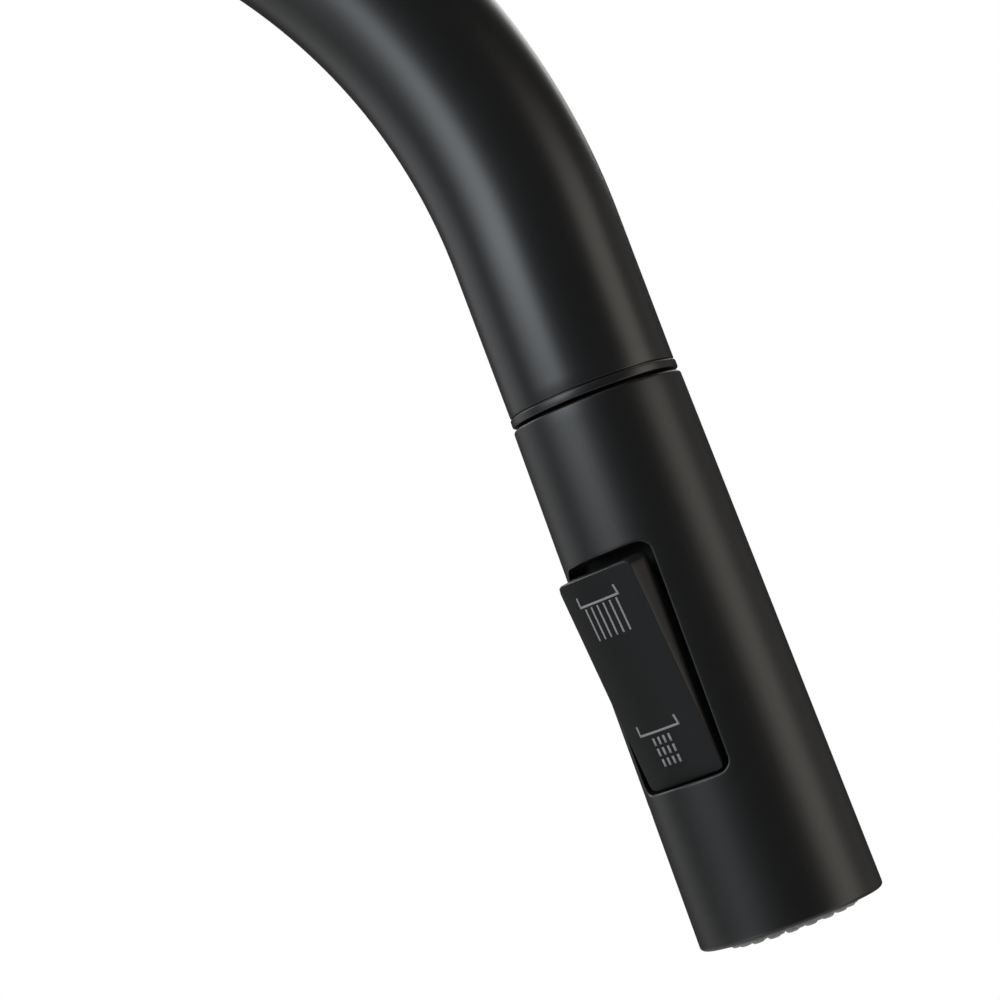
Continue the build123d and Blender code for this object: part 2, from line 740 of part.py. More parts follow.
def aerator_insert():
    """Flow straightener inside the aerator."""
    low, high = -94.0, -87.0
    insert = rod(AERATOR_BORE_R - 0.02, low, high)
    for x, y in [(0, 0)] + around(6, 3.6):
        insert -= rod(1.1, low, high, x, y)
    return HEAD * insert


def aerator_screen():
    """Round screen pierced in rings."""
    low, high = -95.6, -94.6
    screen = rod(AERATOR_BORE_R - 0.02, low, high) - rod(0.5, low, high)
    for count, radius in SCREEN_HOLES:
        for x, y in around(count, radius):
            screen -= rod(0.5, low, high, x, y)
    return HEAD * screen


PIECES = [
    base_gasket,
    base_flange,
    body_column,
    valve_manifold,
    shank,
    deck_rubber_washer,
    deck_steel_washer,
    mounting_nut,
    jack_screws,
    swivel_spigot,
    spigot_o_rings,
    swivel_slip_ring,
    spout_hub,
    spout_retaining_screw,
    spout_tube,
    hose,
    hose_tail_fitting,
    dock_ring,
    dock_guide,
    dock_magnet,
    cartridge_seal,
    cartridge_housing,
    fixed_disc,
    moving_disc,
    cartridge_turret,
    stem_pin,
    cartridge_stem,
    cartridge_nut,
    valve_cap,
    handle_hub,
    handle_lever,
    handle_set_screw,
    handle_index_plug,
    hose_ferrule,
    hose_nipple,
    nipple_o_ring,
    head_shell,
    docking_cone,
    catch_ring,
    inlet_nut,
    waterway_body,
    inlet_filter,
    check_valve_housing,
    check_valve_poppet,
    check_valve_spring,
    rocker_tray,
    rocker_pin,
    mode_rocker,
    diverter_spool,
    spool_o_rings,
    diffuser_plate,
    chamber_o_ring,
    spray_face,
    nozzle_pad,
    aerator_housing,
    aerator_insert,
    aerator_screen,
]


os.makedirs("parts", exist_ok=True)
for piece in PIECES:
    export_step(piece(), f"parts/{piece.__name__}.step")
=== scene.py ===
"""Looks of a matte black pull-down kitchen faucet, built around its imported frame.

Lengths that belong to the faucet are written in millimetres and turned into metres by MM.
Each piece is meshed in its own local frame and then placed on the frame's own geometry.
"""

import json
from math import acos, asin, atan2, cos, hypot, pi, radians, sin, sqrt, tau

import bpy
from mathutils import Matrix, Vector


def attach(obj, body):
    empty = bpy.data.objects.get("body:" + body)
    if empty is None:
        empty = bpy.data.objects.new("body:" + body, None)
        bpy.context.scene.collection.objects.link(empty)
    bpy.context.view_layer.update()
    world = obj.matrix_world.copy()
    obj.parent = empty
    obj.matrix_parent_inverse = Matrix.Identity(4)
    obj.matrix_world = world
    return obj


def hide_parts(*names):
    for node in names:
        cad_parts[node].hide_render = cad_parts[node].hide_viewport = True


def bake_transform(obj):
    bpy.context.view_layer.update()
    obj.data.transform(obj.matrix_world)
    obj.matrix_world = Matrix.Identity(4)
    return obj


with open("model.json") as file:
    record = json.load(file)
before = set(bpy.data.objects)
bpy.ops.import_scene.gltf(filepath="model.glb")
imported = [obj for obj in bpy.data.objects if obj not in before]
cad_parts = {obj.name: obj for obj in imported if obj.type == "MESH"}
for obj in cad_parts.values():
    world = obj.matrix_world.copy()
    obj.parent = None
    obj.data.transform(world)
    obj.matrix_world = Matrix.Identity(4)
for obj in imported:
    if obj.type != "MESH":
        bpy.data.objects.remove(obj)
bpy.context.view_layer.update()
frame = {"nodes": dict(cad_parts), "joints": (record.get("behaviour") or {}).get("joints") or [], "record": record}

MM = 0.001
JOINTS = {joint["name"]: joint for joint in frame["joints"]}
SEGMENTS = 128  # around a turned piece


# ---------------------------------------------------------------- places read from the frame
SPRAY_AXIS = Vector(JOINTS["head_pull"]["axis"]).normalized()
LEAN = acos(-SPRAY_AXIS.z)
ROCKER_AXIS = Vector(JOINTS["rocker_tip"]["axis"]).normalized()
TILT = radians(max(JOINTS["rocker_tip"]["range_deg"])) / 2
VALVE_PIVOT = Vector(JOINTS["handle_lift"]["pos_m"])

# Gooseneck: riser, arc and a straight run to the dock
TUBE_R = 15.3
TUBE_BORE_R = 13.8
TUBE_LOW = 146.0
ARC_LOW = 280.0
ARC_R = 118.0
TUBE_RUN = 28.0
TUBE_SEGMENTS = 96
LINE_STEP = 2.5  # between two loops along the centre line
HEAD_GAP = 2.2

# Spray head, heights down from its top
HEAD_TOP_R = 15.6
HEAD_LOW_R = 16.8
HEAD_LENGTH = 96.0
HEAD_WALL = 2.0
ROCKER_Z = -46.9
POCKET = (9.75, 20.7, 2.0)  # half width, half length, corner radius
ROCKER = (8.5, 19.5, 1.1)  # the same of the rocker
ROCKER_FACE = 16.75
ROCKER_CROWN_R = 29.4
ROCKER_SKIRT = 10.35
PIVOT_DEEP = 7.3
PAD_R = 12.3
AERATOR_R = 6.65


def dock_frame():
    """Matrix from the dock's local millimetres to the row frame: -Z runs down the spray axis."""
    x = ARC_R * (1 + cos(LEAN)) + TUBE_RUN * sin(LEAN)
    z = ARC_LOW + ARC_R * sin(LEAN) - TUBE_RUN * cos(LEAN)
    return Matrix.Translation((x * MM, 0, z * MM)) @ Matrix.Rotation(-LEAN, 4, "Y")


def head_frame():
    """Matrix of the spray head at rest, with the rocker on its -Y side."""
    dock = dock_frame()
    local = dock.to_3x3().inverted() @ -ROCKER_AXIS
    turn = atan2(local.y, local.x)
    return dock @ Matrix.Translation((0, 0, -HEAD_GAP * MM)) @ Matrix.Rotation(turn, 4, "Z")


DOCK = dock_frame()
HEAD = head_frame()
VALVE = Matrix.Translation((0, 0, VALVE_PIVOT.z)) @ Matrix.Rotation(-pi / 2, 4, "X")
WORLD = Matrix.Identity(4)


# ---------------------------------------------------------------- meshes
def add_piece(name, shape, place, body, material, replaced=(), smooth=40):
    """Makes a mesh object from a shape in millimetres, and ties it to its body."""
    verts, faces = shape
    mesh = bpy.data.meshes.new(name)
    mesh.from_pydata([place @ (Vector(v) * MM) for v in verts], [], faces)
    mesh.validate()
    mesh.update()
    mesh.shade_smooth()
    if smooth:
        mesh.set_sharp_from_angle(angle=radians(smooth))
    mesh.materials.append(material)
    piece = bpy.data.objects.new(name, mesh)
    bpy.context.scene.collection.objects.link(piece)
    if body:
        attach(piece, body)
    if replaced:
        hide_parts(*replaced)
    return piece


def loft(loops, closed_ends=(False, False)):
    """Points and quads through a list of equal closed loops."""
    count = len(loops[0])
    verts = [point for loop in loops for point in loop]
    faces = []
    for row in range(len(loops) - 1):
        for i in range(count):
            j = (i + 1) % count
            a, b = row * count, (row + 1) * count
            faces.append((a + i, a + j, b + j, b + i))
    if closed_ends[0]:
        faces.append(tuple(reversed(range(count))))
    if closed_ends[1]:
        faces.append(tuple(range((len(loops) - 1) * count, len(loops) * count)))
    return verts, faces


def closed_loft(loops):
    """Points and quads through a list of equal loops, the last of which joins the first."""
    verts, faces = loft(loops + [loops[0]])
    last = len(loops) * len(loops[0])
    return verts[:last], [tuple(v - last if v >= last else v for v in face) for face in faces]


def rounded(corners, steps=5):
    """A (radius, height) profile whose corners are given as (r, z) or (r, z, fillet)."""
    path = []
    for i, corner in enumerate(corners):
        r, z = corner[:2]
        fillet = corner[2] if len(corner) > 2 else 0
        before = Vector(corners[i - 1][:2])
        after = Vector(corners[(i + 1) % len(corners)][:2])
        here = Vector((r, z))
        if not fillet:
            path.append((r, z))
            continue
        into = (before - here).normalized()
        out = (after - here).normalized()
        half = into.angle(out) / 2
        reach = fillet / sin(half) * cos(half)
        middle = here + (into + out).normalized() * fillet / sin(half)
        start = here + into * reach - middle
        end = here + out * reach - middle
        sweep = atan2(start.x * end.y - start.y * end.x, start.dot(end))
        for k in range(steps + 1):
            turn = sweep * k / steps
            x = start.x * cos(turn) - start.y * sin(turn)
            y = start.x * sin(turn) + start.y * cos(turn)
            path.append((middle.x + x, middle.y + y))
    return path


def circle_points(radius, z, segments=SEGMENTS, x=0.0, y=0.0):
    """A level circle of points about a place."""
    return [
        (x + radius * cos(tau * i / segments), y + radius * sin(tau * i / segments), z)
        for i in range(segments)
    ]


def lathe(profile, segments=SEGMENTS, x=0.0, y=0.0):
    """A closed ring turned about Z from a closed profile that keeps off the axis."""
    return closed_loft([circle_points(r, z, segments, x, y) for r, z in profile])


def turned_cap(profile, segments=SEGMENTS, x=0.0, y=0.0):
    """A solid turned about Z from an open profile whose two ends are closed with discs."""
    return loft([circle_points(r, z, segments, x, y) for r, z in profile], (True, True))


def merge(parts):
    """Several (points, faces) meshes as one."""
    verts, faces = [], []
    for part_verts, part_faces in parts:
        base = len(verts)
        verts += part_verts
        faces += [tuple(base + i for i in face) for face in part_faces]
    return verts, faces


def outline(half, grow, nx, nz):
    """Points of a rounded rectangle grown by an amount, in the order of a grid's border.

    The corner's 45 degree point matches the grid's corner, so that loops of it can be
    joined to a grid of nx by nz cells.
    """
    half_w, half_l, corner = half
    w, l = half_w + grow, half_l + grow
    r = max(corner + grow, 0.02)
    quarter = pi * r / 4

    def side(count, straight):
        """Distances from one 45 degree point to the next along a side."""
        length = 2 * quarter + straight
        return [length * i / count for i in range(count)]

    def place(corner_x, corner_z, start, distance, straight, direction):
        """Point at a distance along a side that starts halfway round a corner."""
        if distance < quarter:
            angle = start + distance / r
            return (corner_x + r * cos(angle), corner_z + r * sin(angle))
        angle = start + pi / 4
        x = corner_x + r * cos(angle)
        z = corner_z + r * sin(angle)
        run = min(distance - quarter, straight)
        x += direction[0] * run
        z += direction[1] * run
        beyond = distance - quarter - straight
        if beyond <= 0:
            return (x, z)
        centre_x = corner_x + direction[0] * straight
        centre_z = corner_z + direction[1] * straight
        angle += beyond / r
        return (centre_x + r * cos(angle), centre_z + r * sin(angle))

    flat_x, flat_z = 2 * (w - r), 2 * (l - r)
    points = []
    sides = (
        (-w + r, -l + r, -3 * pi / 4, nx, flat_x, (1, 0)),
        (w - r, -l + r, -pi / 4, nz, flat_z, (0, 1)),
        (w - r, l - r, pi / 4, nx, flat_x, (-1, 0)),
        (-w + r, l - r, 3 * pi / 4, nz, flat_z, (0, -1)),
    )
    for corner_x, corner_z, start, count, straight, direction in sides:
        for distance in side(count, straight):
            points.append(place(corner_x, corner_z, start, distance, straight, direction))
    return points


def grid_border(xs, zs):
    """Border of a grid, counter-clockwise from its low corner, as (column, row) pairs."""
    nx, nz = len(xs) - 1, len(zs) - 1
    border = [(i, 0) for i in range(nx)]
    border += [(nx, j) for j in range(nz)]
    border += [(nx - i, nz) for i in range(nx)]
    border += [(0, nz - j) for j in range(nz)]
    return border


def pierced(outer, inner, zs, half_angle, nx, back, loops):
    """A turned shell with an opening on its -Y side.

    outer runs down and inner runs up, as (radius, height) rows that include every height
    in zs, the opening's panel.  loops lead from the panel's outer border to its inner one.
    """
    profile = outer + inner
    angles = [-half_angle + 2 * half_angle * i / nx for i in range(nx + 1)]
    rest = tau - 2 * half_angle
    angles += [half_angle + rest * k / back for k in range(1, back)]
    columns = len(angles)
    verts = [(r * sin(a), -r * cos(a), z) for r, z in profile for a in angles]
    rows_out = [min(range(len(outer)), key=lambda p: abs(outer[p][1] - z)) for z in zs]
    first = len(outer)
    rows_in = [first + min(range(len(inner)), key=lambda p: abs(inner[p][1] - z)) for z in zs]
    faces = []
    for p in range(len(profile)):
        q = (p + 1) % len(profile)
        in_panel = (rows_out[-1] <= p < rows_out[0]) or (rows_in[0] <= p < rows_in[-1])
        for c in range(0 if not in_panel else nx, columns):
            d = (c + 1) % columns
            faces.append((p * columns + c, q * columns + c, q * columns + d, p * columns + d))
    border = grid_border(list(range(nx + 1)), zs)
    rings = [[rows_out[j] * columns + i for i, j in border]]
    for loop in loops:
        base = len(verts)
        verts += loop
        rings.append(list(range(base, base + len(loop))))
    rings.append([rows_in[j] * columns + i for i, j in border])
    count = len(border)
    for near, far in zip(rings, rings[1:]):
        for i in range(count):
            j = (i + 1) % count
            faces.append((near[i], near[j], far[j], far[i]))
    return used_only(verts, faces)


def used_only(verts, faces):
    """The same mesh without the points that no face uses."""
    used = sorted({i for face in faces for i in face})
    renumber = {old: new for new, old in enumerate(used)}
    return [verts[i] for i in used], [tuple(renumber[i] for i in face) for face in faces]


def eased_rows(zs, low, high, step):
    """Heights from low to high that include zs, spaced by about a step elsewhere."""
    def fill(a, b):
        count = max(1, round((b - a) / step))
        return [a + (b - a) * k / count for k in range(count)]

    return fill(low, zs[0]) + list(zs) + fill(zs[-1], high)[1:] + [high]


def spread(low, high, count):
    """Evenly spaced values from low to high, in count steps."""
    return [low + (high - low) * k / count for k in range(count + 1)]


def on_face(points, radius, depth=0.0):
    """Outline points laid on the -Y side of a turned surface, sunk by a depth."""
    laid = []
    for x, z in points:
        r = radius(z)
        laid.append((x, -sqrt(max(r * r - x * x, 0)) + depth, z))
    return laid


def ease_to_border(points, radius, zs, half_angle, nx, shares):
    """Loops part of the way from outline points to the panel's border, on the surface."""
    border = grid_border(list(range(nx + 1)), zs)
    loops = []
    for share in shares:
        loop = []
        for (x, z), (i, j) in zip(points, border):
            angle = asin(x / radius(z))
            edge = -half_angle + 2 * half_angle * i / nx
            a = angle + (edge - angle) * share
            height = z + (zs[j] - z) * share
            r = radius(height)
            loop.append((r * sin(a), -r * cos(a), height))
        loops.append(loop)
    return loops


# ---------------------------------------------------------------- materials
def node_tools(owner):
    """The node tree of a material or world, and functions that feed and add its nodes."""
    owner.use_nodes = True
    tree = owner.node_tree

    def feed(node, inputs):
        """Links each input that is given a socket, and sets the others."""
        for name, value in inputs.items():
            if isinstance(value, bpy.types.NodeSocket):
                tree.links.new(value, node.inputs[name])
            else:
                node.inputs[name].default_value = value

    def add(kind, inputs=None, **settings):
        """A new node with its settings and inputs."""
        node = tree.nodes.new(kind)
        for setting, value in settings.items():
            setattr(node, setting, value)
        feed(node, inputs or {})
        return node

    return tree, feed, add


def shift_range(add, source, low, high):
    """Maps a 0 to 1 value to a range."""
    limits = {"Value": source, "To Min": low, "To Max": high}
    return add("ShaderNodeMapRange", limits).outputs["Result"]


def finish_material(name, colour, accent, metallic, rough, grain, bump, specular=0.5):
    """A surface with mottled colour and roughness, fine grain and faint handling marks.

    rough is a pair of limits, grain is the size of the bump in millimetres, and accent is
    the colour that the mottling leans to.
    """
    material = bpy.data.materials.new(name)
    tree, feed, add = node_tools(material)
    place = add("ShaderNodeTexCoord").outputs["Object"]

    def noise(size, detail, roughness=0.55):
        texture = {"Scale": 1 / (size * MM), "Detail": detail, "Roughness": roughness}
        return add("ShaderNodeTexNoise", {"Vector": place, **texture}).outputs["Fac"]

    mottle = noise(22.0, 4)
    fine = noise(grain, 3, 0.6)
    speck = noise(grain * 6, 5, 0.7)
    tint = {"Factor": mottle, "A": (*colour, 1), "B": (*accent, 1)}
    marks = {"Factor": 0.45, "A": mottle, "B": speck}
    wear = add("ShaderNodeMix", marks, data_type="FLOAT").outputs["Result"]
    relief = {"Strength": bump, "Distance": 0.02 * MM, "Height": fine}
    feed(tree.nodes["Principled BSDF"], {
        "Base Color": add("ShaderNodeMix", tint, data_type="RGBA").outputs["Result"],
        "Roughness": shift_range(add, wear, *rough),
        "Normal": add("ShaderNodeBump", relief).outputs["Normal"],
        "Metallic": metallic,
        "Specular IOR Level": specular,
    })
    return material


def turned_metal(name, colour, accent, rough):
    """Machined metal with fine turning lines along Z."""
    material = finish_material(name, colour, accent, 1.0, rough, 0.25, 0.15)
    tree, feed, add = node_tools(material)
    shader = tree.nodes["Principled BSDF"]
    wave_length = 0.72
    lines = {"Scale": 1 / (wave_length * MM), "Distortion": 1.5, "Detail": 2}
    lines["Vector"] = add("ShaderNodeTexCoord").outputs["Object"]
    relief = {"Strength": 0.12, "Distance": 0.01 * MM}
    relief["Height"] = add("ShaderNodeTexWave", lines, bands_direction="Z").outputs["Fac"]
    relief["Normal"] = shader.inputs["Normal"].links[0].from_socket
    feed(shader, {"Normal": add("ShaderNodeBump", relief).outputs["Normal"]})
    return material


BRAID_STRANDS = 12
BRAID_PITCH = 8.0
BRAID_CLIMB = 3.0


def braid_material(name, place_frame):
    """Nylon braid: crossed helical strands about an axis, dark with paler threads."""
    material = bpy.data.materials.new(name)
    tree, feed, add = node_tools(material)
    inverse = place_frame.inverted()
    mapping = add("ShaderNodeMapping", {
        "Vector": add("ShaderNodeTexCoord").outputs["Object"],
        "Location": inverse.to_translation(),
        "Rotation": inverse.to_euler(),
    })
    split = add("ShaderNodeSeparateXYZ", {"Vector": mapping.outputs["Vector"]})

    def math(operation, *values):
        numbered = dict(enumerate(values))
        return add("ShaderNodeMath", numbered, operation=operation).outputs["Value"]

    angle = math("ARCTAN2", split.outputs["Y"], split.outputs["X"])
    along = math("MULTIPLY", split.outputs["Z"], tau / (BRAID_PITCH * MM))
    around = math("MULTIPLY", angle, BRAID_STRANDS)
    climb = math("MULTIPLY", along, BRAID_CLIMB)
    left = math("SINE", math("ADD", around, climb))
    right = math("SINE", math("SUBTRACT", around, climb))
    level = math("MULTIPLY", math("ADD", math("MAXIMUM", left, right), 1.0), 0.5)
    threads = {"Factor": level, "A": (0.012, 0.012, 0.013, 1), "B": (0.085, 0.085, 0.09, 1)}
    relief = {"Strength": 0.8, "Distance": 0.25 * MM, "Height": level}
    feed(tree.nodes["Principled BSDF"], {
        "Base Color": add("ShaderNodeMix", threads, data_type="RGBA").outputs["Result"],
        "Normal": add("ShaderNodeBump", relief).outputs["Normal"],
        "Roughness": shift_range(add, level, 0.75, 0.5),
    })
    return material


MATERIALS = {
    "matte_black": finish_material(
        "matte_black", (0.0085, 0.0085, 0.0090), (0.0115, 0.0115, 0.0118),
        0.0, (0.31, 0.37), 0.35, 0.25
    ),
    "head_black": finish_material(
        "head_black", (0.0055, 0.0055, 0.0059), (0.0075, 0.0075, 0.0077),
        0.0, (0.37, 0.43), 0.30, 0.25
    ),
    "rocker_black": finish_material(
        "rocker_black", (0.0062, 0.0062, 0.0064), (0.0080, 0.0080, 0.0082),
        0.0, (0.43, 0.49), 0.22, 0.4, specular=0.18
    ),
    # Side walls and bevel of the rocker: a smoother finish, and a colour lighter than the face that paints in the
    # light these faces catch.
    "rocker_side_painted_light": finish_material(
        "rocker_side_painted_light", (0.012, 0.012, 0.0118), (0.016, 0.016, 0.0157),
        0.0, (0.38, 0.44), 0.22, 0.3, specular=0.3
    ),
    "inner_black": finish_material(
        "inner_black", (0.006, 0.006, 0.006), (0.010, 0.010, 0.010), 0.0, (0.55, 0.70), 0.4, 0.5
    ),
    "core_plastic": finish_material(
        "core_plastic", (0.58, 0.58, 0.55), (0.66, 0.65, 0.62), 0.0, (0.38, 0.5), 0.5, 0.3
    ),
    "nozzle_grey": finish_material(
        "nozzle_grey", (0.21, 0.21, 0.21), (0.27, 0.27, 0.268), 0.0, (0.55, 0.68), 0.25, 0.5
    ),
    "seal_rubber": finish_material(
        "seal_rubber", (0.012, 0.012, 0.012), (0.022, 0.022, 0.021), 0.0, (0.6, 0.78), 0.3, 0.7
    ),
    "ceramic": finish_material(
        "ceramic", (0.78, 0.76, 0.70), (0.84, 0.82, 0.77), 0.0, (0.12, 0.2), 0.2, 0.1
    ),
    "slip_white": finish_material(
        "slip_white", (0.74, 0.74, 0.72), (0.82, 0.81, 0.80), 0.0, (0.4, 0.5), 0.4, 0.3
    ),
    "print_grey": finish_material(
        "print_grey", (0.19, 0.19, 0.195), (0.25, 0.25, 0.255), 0.0, (0.5, 0.6), 0.15, 0.4
    ),
    "magnet": turned_metal("magnet", (0.20, 0.20, 0.21), (0.27, 0.27, 0.28), (0.35, 0.45)),
    "brass": turned_metal("brass", (0.60, 0.42, 0.19), (0.74, 0.55, 0.29), (0.26, 0.42)),
    "steel": turned_metal("steel", (0.52, 0.52, 0.53), (0.64, 0.64, 0.65), (0.24, 0.38)),
}
BRAID_LOW = braid_material("hose_braid_low", WORLD)
BRAID_HIGH = braid_material("hose_braid", DOCK)


def span(node, place=WORLD):
    """Radius, lowest and highest Z of a CAD node turned about a frame's Z, in millimetres."""
    inverse = place.inverted()
    points = [inverse @ v.co / MM for v in frame["nodes"][node].data.vertices]
    radius = max(hypot(p.x, p.y) for p in points)
    heights = [p.z for p in points]
    return radius, min(heights), max(heights)


# ---------------------------------------------------------------- spout
def gooseneck_line(low, beyond):
    """Centre line of the spout as (point, direction) pairs, from a height to past its end."""
    up = Vector((0, 0, 1))
    line = [(up * z, up) for z in spread(low, ARC_LOW, round((ARC_LOW - low) / LINE_STEP))]
    turn = pi - LEAN
    for a in spread(0, turn, round(ARC_R * turn / LINE_STEP))[1:]:
        point = Vector((ARC_R * (1 - cos(a)), 0, ARC_LOW + ARC_R * sin(a)))
        line.append((point, Vector((sin(a), 0, cos(a)))))
    end = line[-1][0]
    length = TUBE_RUN + beyond
    for s in spread(0, length, round(length / LINE_STEP))[1:]:
        line.append((end + SPRAY_AXIS * s, SPRAY_AXIS))
    return line


def tube_loops(line, radius, segments=TUBE_SEGMENTS):
    """Circles square to a line that lies in the XZ plane."""
    side = Vector((0, 1, 0))
    loops = []
    for point, direction in line:
        up = direction.cross(side)
        ring = []
        for i in range(segments):
            a = tau * i / segments
            ring.append(point + side * (radius * cos(a)) + up * (radius * sin(a)))
        loops.append(ring)
    return loops


def spout_tube():
    """Bent tube with its real bore and a rounded edge at the dock."""
    line = gooseneck_line(TUBE_LOW, 0)
    edge = 0.35
    start, end = line[0], line[-1]
    outer = tube_loops(line[1:-1], TUBE_R)
    inner = tube_loops(list(reversed(line[1:-1])), TUBE_BORE_R)
    tip = []
    for a in spread(0, pi / 2, 4):
        point = end[0] - end[1] * edge * (1 - sin(a))
        tip += tube_loops([(point, end[1])], TUBE_R - edge * (1 - cos(a)))
    tip += tube_loops([end], TUBE_BORE_R)
    root = tube_loops([start], TUBE_BORE_R) + tube_loops([start], TUBE_R)
    shape = closed_loft(outer + tip + inner + root)
    add_piece("gooseneck_tube", shape, WORLD, "spout", MATERIALS["matte_black"],
              ["spout_tube"])


def hose_run(name, line, material, body=None, replaced=()):
    """A length of hose with its bore, along part of the centre line."""
    radius, bore, segments = 5.0, 3.2, 40
    loops = tube_loops(line, radius, segments)
    loops += tube_loops(list(reversed(line)), bore, segments)
    return add_piece(name, closed_loft(loops), WORLD, body, material, replaced)


def hose():
    """Braided spray hose: a still run in the riser and bend, and the run that draws out with the head in use, here
    meshed at rest and tied to no body.
    """
    low = span("hose")[1]
    in_head, held = 8.0, 4.0
    beyond = HEAD_GAP + in_head
    moving = round((TUBE_RUN + beyond) / LINE_STEP)
    line = gooseneck_line(low, beyond)
    hose_run("spray_hose_low", line[:-moving], BRAID_LOW, "spout")
    piece = hose_run("spray_hose", line[-moving - 1:], BRAID_HIGH, replaced=["hose"])
    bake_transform(piece)


# ---------------------------------------------------------------- spray head
def head_radius(z):
    """Outside radius of the tapered head at a height."""
    return HEAD_TOP_R + (HEAD_LOW_R - HEAD_TOP_R) * -z / HEAD_LENGTH


def head_bore(z):
    return head_radius(z) - HEAD_WALL


HEAD_PANEL = radians(62)
PANEL_COLUMNS = 36
PANEL_ROWS = 72
PANEL_BACK = 100  # columns round the rest of the head


def pocket_rows():
    """Heights of the grid's rows round the rocker's opening."""
    half_l, margin = POCKET[1], 4.0
    return spread(ROCKER_Z - half_l - margin, ROCKER_Z + half_l + margin, PANEL_ROWS)


def pocket_outline(grow):
    """Edge of the rocker's opening, grown by an amount."""
    points = outline(POCKET, grow, PANEL_COLUMNS, PANEL_ROWS)
    return [(x, z + ROCKER_Z) for x, z in points]


def head_shell():
    """Tapered shell with the rocker's opening, its rim softly rounded."""
    zs = pocket_rows()
    top_edge, low_edge, lip, rim, reach = 0.6, 0.8, 0.2, 0.45, 2.2
    outer = []
    for a in spread(0, pi / 2, 5):
        outer.append((head_radius(0) - top_edge * (1 - sin(a)), -top_edge * (1 - cos(a))))
    heights = eased_rows(zs, -HEAD_LENGTH + low_edge, -top_edge, 2.0)
    outer += [(head_radius(z), z) for z in reversed(heights)][1:]
    for a in spread(0, pi / 2, 5)[1:]:
        z = -HEAD_LENGTH + low_edge * (1 - sin(a))
        outer.append((head_radius(-HEAD_LENGTH) - low_edge * (1 - cos(a)), z))
    heights = eased_rows(zs, -HEAD_LENGTH + lip, -lip, 4.0)
    inner = [(head_bore(-HEAD_LENGTH) + lip, -HEAD_LENGTH)]
    inner += [(head_bore(z), z) for z in heights]
    inner.append((head_bore(0) + lip, 0.0))
    wide = pocket_outline(reach)
    loops = ease_to_border(wide, head_radius, zs, HEAD_PANEL, PANEL_COLUMNS, (0.66, 0.33))
    for grow in (reach, 1.5, 1.0, 0.7):
        loops.append(on_face(pocket_outline(grow), head_radius))
    for a in spread(0, pi / 2, 5):
        loops.append(on_face(pocket_outline(rim * (1 - sin(a))), head_radius, rim * (1 - cos(a))))
    for grow in (0, 0.8):
        loops.append(on_face(pocket_outline(grow), head_bore))
    loops += ease_to_border(wide, head_bore, zs, HEAD_PANEL, PANEL_COLUMNS, (0, 0.5))
    shape = pierced(outer, inner, zs, HEAD_PANEL, PANEL_COLUMNS, PANEL_BACK, loops)
    add_piece("head_casing", shape, HEAD, "spray_head", MATERIALS["head_black"],
              ["head_shell"], smooth=50)


ROCKER_COLUMNS = 20
ROCKER_ROWS = 40


def crown(x):
    """Height of the rocker's convex face above the head's axis."""
    return ROCKER_FACE - ROCKER_CROWN_R + sqrt(ROCKER_CROWN_R ** 2 - x * x)


def rocker_place():
    """Matrix from the level rocker's frame to the row frame at rest."""
    pivot = Vector((0, -PIVOT_DEEP, ROCKER_Z)) * MM
    lean = Matrix.Rotation(TILT, 4, "X")
    return HEAD @ Matrix.Translation(pivot) @ lean @ Matrix.Translation(-pivot)


def panel(inset, height, flip):
    """A grid inside the rocker's outline at a height, with its border's indices."""
    half_w, half_l, _ = ROCKER
    columns, rows = ROCKER_COLUMNS, ROCKER_ROWS
    verts, faces = [], []
    for z in spread(inset - half_l, half_l - inset, rows):
        for x in spread(inset - half_w, half_w - inset, columns):
            verts.append((x, -height(x), z + ROCKER_Z))
    for j in range(rows):
        for i in range(columns):
            a = j * (columns + 1) + i
            face = (a, a + 1, a + columns + 2, a + columns + 1)
            faces.append(tuple(reversed(face)) if flip else face)
    border = grid_border(list(range(columns + 1)), list(range(rows + 1)))
    return verts, faces, [j * (columns + 1) + i for i, j in border]


def box_mesh(x, y, z):
    """A plain box between pairs of limits."""
    side = ((x[0], z[0]), (x[1], z[0]), (x[1], z[1]), (x[0], z[1]))
    corners = [(a, b, c) for b in y for a, c in side]
    faces = [(0, 1, 2, 3), (7, 6, 5, 4), (0, 4, 5, 1), (1, 5, 6, 2), (2, 6, 7, 3), (3, 7, 4, 0)]
    return corners, faces


